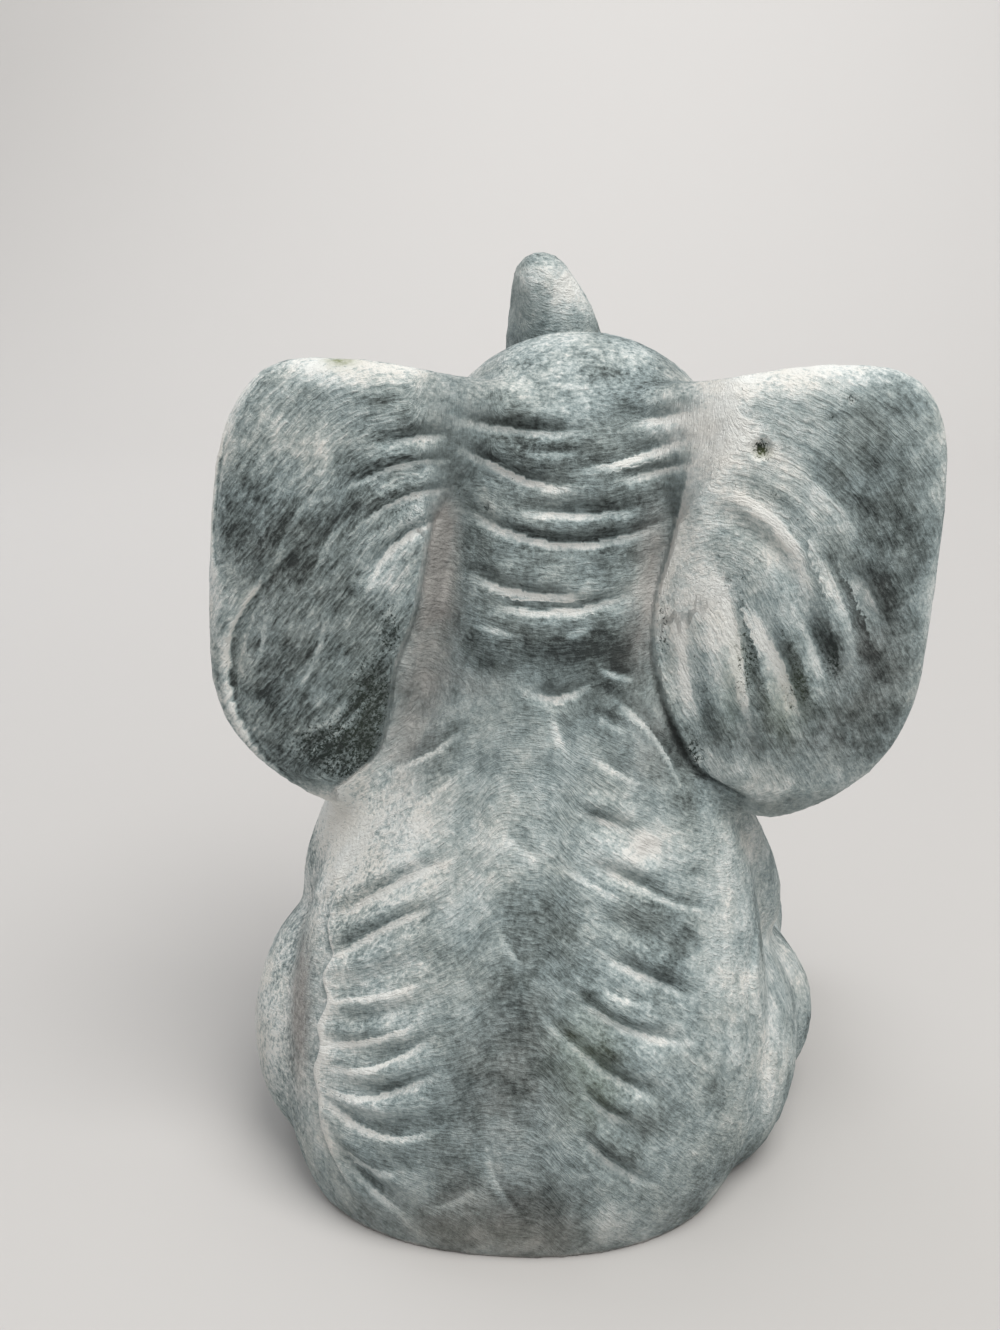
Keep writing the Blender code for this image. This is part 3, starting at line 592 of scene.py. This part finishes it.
    colour = addNode(tree, "ShaderNodeValToRGB", {0: tone})
    stops = colour.color_ramp
    stops.elements[0].position, stops.elements[0].color = 0.12, toLinear("#363c3c")
    stops.elements[-1].position, stops.elements[-1].color = 0.92, toLinear("#e0e2df")
    for spot, hexColour in ((0.3, "#626c6c"), (0.48, "#879495"), (0.64, "#a8b3b3"), (0.78, "#c6cdcc")):
        stops.elements.new(spot).color = toLinear(hexColour)
    warmCloud = addNode(tree, "ShaderNodeTexNoise", {
        "Vector": place, "W": 7.3, "Scale": 1 / 9, "Detail": 5.0, "Roughness": 0.65},
        noise_dimensions="4D").outputs[0]
    warmShare = addNode(tree, "ShaderNodeMapRange", {
        "Value": warmCloud, "From Min": 0.42, "From Max": 0.62, "To Max": 0.35}).outputs[0]
    warmShare = addNode(tree, "ShaderNodeMath", {0: warmShare, 1: calm}, operation="MULTIPLY").outputs[0]
    stained = addNode(tree, "ShaderNodeMix", {  # where the cement shows through the blue-green stain
        "Factor": warmShare, 6: colour.outputs[0], 7: toLinear("#f8ede3")},
        data_type="RGBA", blend_type="MULTIPLY").outputs[2]
    bareCement = addNode(tree, "ShaderNodeMix", {
        "Factor": tone, 6: toLinear("#51514f"), 7: toLinear("#cac8c4")}, data_type="RGBA").outputs[2]
    worn = addNode(tree, "ShaderNodeMath", {0: blotch, 1: 1.6, 2: -0.8},
                   operation="MULTIPLY_ADD").outputs[0]
    worn = addNode(tree, "ShaderNodeMath", {0: mask["bare"], 1: worn}, operation="ADD")
    worn = addNode(tree, "ShaderNodeMath", {0: worn.outputs[0], 1: mask["bare"]},
                   operation="MULTIPLY", use_clamp=True)
    coat = addNode(tree, "ShaderNodeMix", {
        "Factor": worn.outputs[0], 6: stained, 7: bareCement}, data_type="RGBA").outputs[2]
    speckle = addNode(tree, "ShaderNodeTexNoise", {
        "Vector": place, "Scale": 1 / 0.5, "Detail": 3.0, "Roughness": 0.8}).outputs[0]
    spotted = addNode(tree, "ShaderNodeMath", {0: mask["grimeAndShade"], 1: 0.3, 2: speckle},
                      operation="MULTIPLY_ADD")
    spotShare = addNode(tree, "ShaderNodeMapRange", {
        "Value": spotted.outputs[0], "From Min": 0.66, "From Max": 0.76}).outputs[0]
    coat = addNode(tree, "ShaderNodeMix", {  # dark specks between the sand grains: some grime, and painted shade in the ear pockets and under the rolls
        "Factor": spotShare, 6: coat, 7: toLinear("#2b3330")}, data_type="RGBA").outputs[2]
    mossy = addNode(tree, "ShaderNodeMath", {0: mask["moss"], 1: sand},
                    operation="MULTIPLY", use_clamp=True)
    coat = addNode(tree, "ShaderNodeMix", {
        "Factor": mossy.outputs[0], 6: coat, 7: toLinear("#727b50")}, data_type="RGBA").outputs[2]

    # Relief under a millimetre: sand grain and the furrows of the brush
    relief = addNode(tree, "ShaderNodeMath", {0: sand, 1: 1.0, 2: hairs["fineHair"]},
                     operation="MULTIPLY_ADD").outputs[0]
    relief = addNode(tree, "ShaderNodeMath", {0: hairs["broadHair"], 1: 0.8, 2: relief},
                     operation="MULTIPLY_ADD").outputs[0]
    bump = addNode(tree, "ShaderNodeBump", {
        "Strength": 0.85, "Distance": 0.00045, "Height": relief}).outputs[0]
    surface = addNode(tree, "ShaderNodeBsdfPrincipled", {
        "Base Color": coat, "Roughness": 0.93, "Specular IOR Level": 0.25, "Normal": bump})
    addNode(tree, "ShaderNodeOutputMaterial", {0: surface.outputs[0]})
    return material


def fromPot(points):
    # How far each point is from the pot's axis, in millimetres.
    return np.hypot(points[:, 0] / mm - pot["x"], points[:, 1] / mm - pot["y"])


def evenSkin(e):
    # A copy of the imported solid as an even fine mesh, with its flats melted.
    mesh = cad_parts[e["node"]].data.copy()
    bm = bmesh.new()
    bm.from_mesh(mesh)
    bmesh.ops.remove_doubles(bm, verts=bm.verts, dist=1e-6)
    bm.to_mesh(mesh)
    bm.free()
    piece = bpy.data.objects.new("castElephant", mesh)
    bpy.context.scene.collection.objects.link(piece)
    remesh = piece.modifiers.new("evenSkin", "REMESH")
    remesh.mode = "VOXEL"
    remesh.voxel_size = e["skinStep"] * mm
    mesh = bakedMesh(piece)
    piece.modifiers.clear()
    piece.data = mesh
    print("skin", len(mesh.vertices), "points")

    points = meshPoints(mesh)
    height = points[:, 2] / mm
    inPot = ((fromPot(points) < pot["wallReach"]) & (height > pot["wallFoot"])
             & (points[:, 1] / mm < pot["backLimit"]))
    hold = np.where(inPot, pot["hold"], 0.0)
    hold[height < 0.35] = 1.0
    meltFlats(mesh, e["smoothPasses"], hold)
    return piece


def traceLines(mesh):
    # Folds as points on the skin, share and width; creases as points on the skin and their row.
    bm = bmesh.new()
    bm.from_mesh(mesh)
    tree = BVHTree.FromBMesh(bm)
    bm.free()
    folds = []
    for rows, wide in backFolds:
        traced = [(onSkin(tree, strokeLine(row)), row[5], wide) for row in rows]
        folds += [row for row in traced if len(row[0]) > 2]
    for side, rows in hiddenFolds.items():
        folds += [(onSkin(tree, strokeLine(row), side), row[5], 1.0) for row in rows]
    joins = [(onSkin(tree, roundedLine(row[0])), row) for row in creases.values()]
    print("folds", len(folds), "creases", len(joins))
    return folds, joins


def carve(mesh, e, folds, joins):
    reach = e["foldReach"] * mm
    points, normals = meshPoints(mesh), meshNormals(mesh)
    shift = pitRelief(points, normals, pits)
    gap, strength = foldField(points, folds, reach)
    shift += foldRelief(gap, strength, e)
    gap, strength = foldField(points, [(found, row[1], 1.0) for found, row in joins], reach)
    shift += creaseRelief(gap, strength)
    setPoints(mesh, points + normals * shift[:, None])


def paintMasks(mesh, e, folds, joins):
    # What the finish needs to know at each point of the skin.
    reach = e["foldReach"] * mm
    points, normals = meshPoints(mesh), meshNormals(mesh)
    height = points[:, 2] / mm
    gap, strength = foldField(points, folds, reach)
    edgeWashAndHighlight, edgeShade = np.zeros(len(points)), np.zeros(len(points))
    # The raised edge of each crease gets wash and painted highlight, its foot painted shade.
    for found, (_, _, washAndHighlight, darkening, wide) in joins:
        edgeGap, edgeShare = foldField(points, [(found, 1.0, 1.0)], reach)
        edgeGap = edgeGap / mm
        edgeWashAndHighlight += washAndHighlight * edgeShare * np.where(edgeGap > 0, np.exp(-(edgeGap / wide) ** 2), 0)
        edgeShade += darkening * edgeShare * np.exp(-((edgeGap + 0.3) / 0.7) ** 2)

    left, right = earShares(points)
    ears = np.clip(left + right, 0, 1)
    neck = (1 - ears) * smoothStep(height, 76, 88)
    onTop = smoothStep(normals[:, 2], 0.25, 0.9)
    earRimHighlight = smoothStep(np.abs(normals[:, 0]), 0.45, 0.9) * (left + 0.6 * right)
    under = smoothStep(-height, -1.2, -0.2)
    inBore = (fromPot(points) < pot["boreReach"]) & (height > pot["boreFloor"]) & (height < pot["boreTop"])

    # Painted shade darkens the skin under each roll, and the line of wash ends before it.
    shadeUnderRoll = 0.2 * strength * (1 + 2 * right) * np.exp(-((gap / mm - 1.25) / 0.75) ** 2)
    lineStrength = strength * (1 + 0.55 * neck) * (1 - smoothStep(np.abs(gap) / mm, 0.9, 1.35))
    along, across, hair = brushField(points)
    bare = softPatches(points, normals, barePatches)
    grimeAndShade = softPatches(points, normals, shadeAndGrimePatches)
    grimeAndShade = np.clip(grimeAndShade * np.where(height < 100, np.clip(ears * 1.2, 0, 1), 1), 0, 0.7)
    grimeAndShade += 0.5 * shadeUnderRoll * right
    for x, z, radius, _, darkening in pits:
        away = np.hypot(points[:, 0] - x * mm, points[:, 2] - z * mm) / (radius * mm)
        grimeAndShade += darkening * np.exp(-away ** 2) * (normals[:, 1] > 0)
    masks = {
        "foldGap": gap,
        "foldStrength": lineStrength,
        "along": along,
        "across": across,
        "hair": hair * (1 - 0.7 * bare * (1 - ears)) * (0.75 + 0.6 * left - 0.05 * right),
        # pale: wash patches with painted highlight, painted highlight on upward faces and on the sideways
        # faces of the ears, wash and painted highlight on the crease edges
        "pale": (softPatches(points, normals, palePatches) + (0.08 + 0.37 * ears) * onTop
                 + 0.7 * earRimHighlight + edgeWashAndHighlight),
        # dark: stain and painted shade patches, painted shade in the crease corners and under the rolls
        "dark": softPatches(points, normals, darkPatches) + edgeShade + shadeUnderRoll,
        "bare": np.maximum(bare, np.maximum(under, inBore)),
        "grimeAndShade": grimeAndShade,
        "moss": softPatches(points, normals, mossPatches),
        "speck": np.clip(onTop + softPatches(points, normals, sandyPatches), 0, 2.4),
    }
    for name, values in masks.items():
        addMask(mesh, name, values)


def makeElephant(e):
    piece = evenSkin(e)
    folds, joins = traceLines(piece.data)
    carve(piece.data, e, folds, joins)

    lighten = piece.modifiers.new("lighten", "DECIMATE")
    lighten.ratio = e["triangles"] / sum(len(face.vertices) - 2 for face in piece.data.polygons)
    mesh = bakedMesh(piece)
    piece.modifiers.clear()
    piece.data = mesh

    paintMasks(mesh, e, folds, joins)
    grit(piece, e, castCement())
    piece.data.shade_smooth()
    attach(piece, "root")
    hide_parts(e["node"])
    print("elephant", len(piece.data.polygons), "faces")
    return piece


# Floor, lights and camera
studio = {
    "floor": "#c4c2c0",
    "sweepStart": -0.55,      # metres in front of the elephant, where the floor curves up
    "sweepRadius": 0.5,
    "softBoxes": [            # name, place, aim, size in metres, power, colour
        ("overheadSoftbox", (-0.22, 0.28, 0.75), (0, 0, 0.07), 0.55, 5.0, "#fffdfa"),
        ("wallSoftbox", (0.0, -0.6, 0.75), (0, -1.15, 0.2), 0.6, 3.2, "#ffffff"),
        ("backSoftbox", (0.45, -0.35, 0.55), (0, 0, 0.09), 0.5, 1.2, "#f6f9ff"),
    ],
    "skyStrength": 0.62,
    "lens": 50.0,
    "azimuth": 185.0,
    "pitch": 18.0,
    "distance": 0.288,
    "target": (0.0065, 0.0, 0.080),
}


def makeFloor(s):
    # One sheet: level floor, then a quarter turn up into a wall.
    rows = [(1.6, 0.0), (s["sweepStart"], 0.0)]
    for i in range(1, 17):
        turn = math.pi / 2 * i / 16
        rows.append((s["sweepStart"] - s["sweepRadius"] * math.sin(turn),
                     s["sweepRadius"] * (1 - math.cos(turn))))
    rows.append((rows[-1][0], 2.6))
    bm = bmesh.new()
    pairs = [(bm.verts.new((-2.4, y, z)), bm.verts.new((2.4, y, z))) for y, z in rows]
    for (a, b), (c, d) in zip(pairs, pairs[1:]):
        bm.faces.new((a, b, d, c))
    mesh = bpy.data.meshes.new("paleFloor")
    bm.to_mesh(mesh)
    bm.free()
    mesh.shade_smooth()
    floor = bpy.data.objects.new("paleFloor", mesh)
    bpy.context.scene.collection.objects.link(floor)
    material = bpy.data.materials.new("mattPaperFloor")  # matt backdrop paper
    material.use_nodes = True
    surface = material.node_tree.nodes["Principled BSDF"]
    surface.inputs["Base Color"].default_value = toLinear(s["floor"])
    surface.inputs["Roughness"].default_value = 0.95
    surface.inputs["Specular IOR Level"].default_value = 0.1
    mesh.materials.append(material)


def softBox(name, place, aim, size, power, colour):
    light = bpy.data.lights.new(name, "AREA")
    light.shape = "DISK"
    light.size = size
    light.energy = power
    light.color = toLinear(colour)[:3]
    lamp = bpy.data.objects.new(name, light)
    lamp.location = place
    lamp.rotation_euler = (Vector(aim) - Vector(place)).to_track_quat("-Z", "Y").to_euler()
    bpy.context.scene.collection.objects.link(lamp)


def makeStudio(s):
    makeFloor(s)
    for row in s["softBoxes"]:
        softBox(*row)
    world = bpy.data.worlds.new("paleRoom")
    world.use_nodes = True
    world.node_tree.nodes["Background"].inputs[0].default_value = toLinear("#f4f4f4")
    world.node_tree.nodes["Background"].inputs[1].default_value = s["skyStrength"]
    bpy.context.scene.world = world
    bpy.context.scene.view_settings.view_transform = "Standard"

    turn, pitch = math.radians(s["azimuth"]), math.radians(s["pitch"])
    back = Vector((math.sin(turn) * math.cos(pitch), -math.cos(turn) * math.cos(pitch), math.sin(pitch)))
    lens = bpy.data.cameras.new("camera")
    lens.lens = s["lens"]
    lens.sensor_width = 36.0
    lens.clip_start = 0.01
    camera = bpy.data.objects.new("camera", lens)
    camera.location = Vector(s["target"]) + back * s["distance"]
    camera.rotation_euler = (-back).to_track_quat("-Z", "Y").to_euler()
    bpy.context.scene.collection.objects.link(camera)
    bpy.context.scene.camera = camera


makeElephant(elephant)
makeStudio(studio)
print("studio ready")
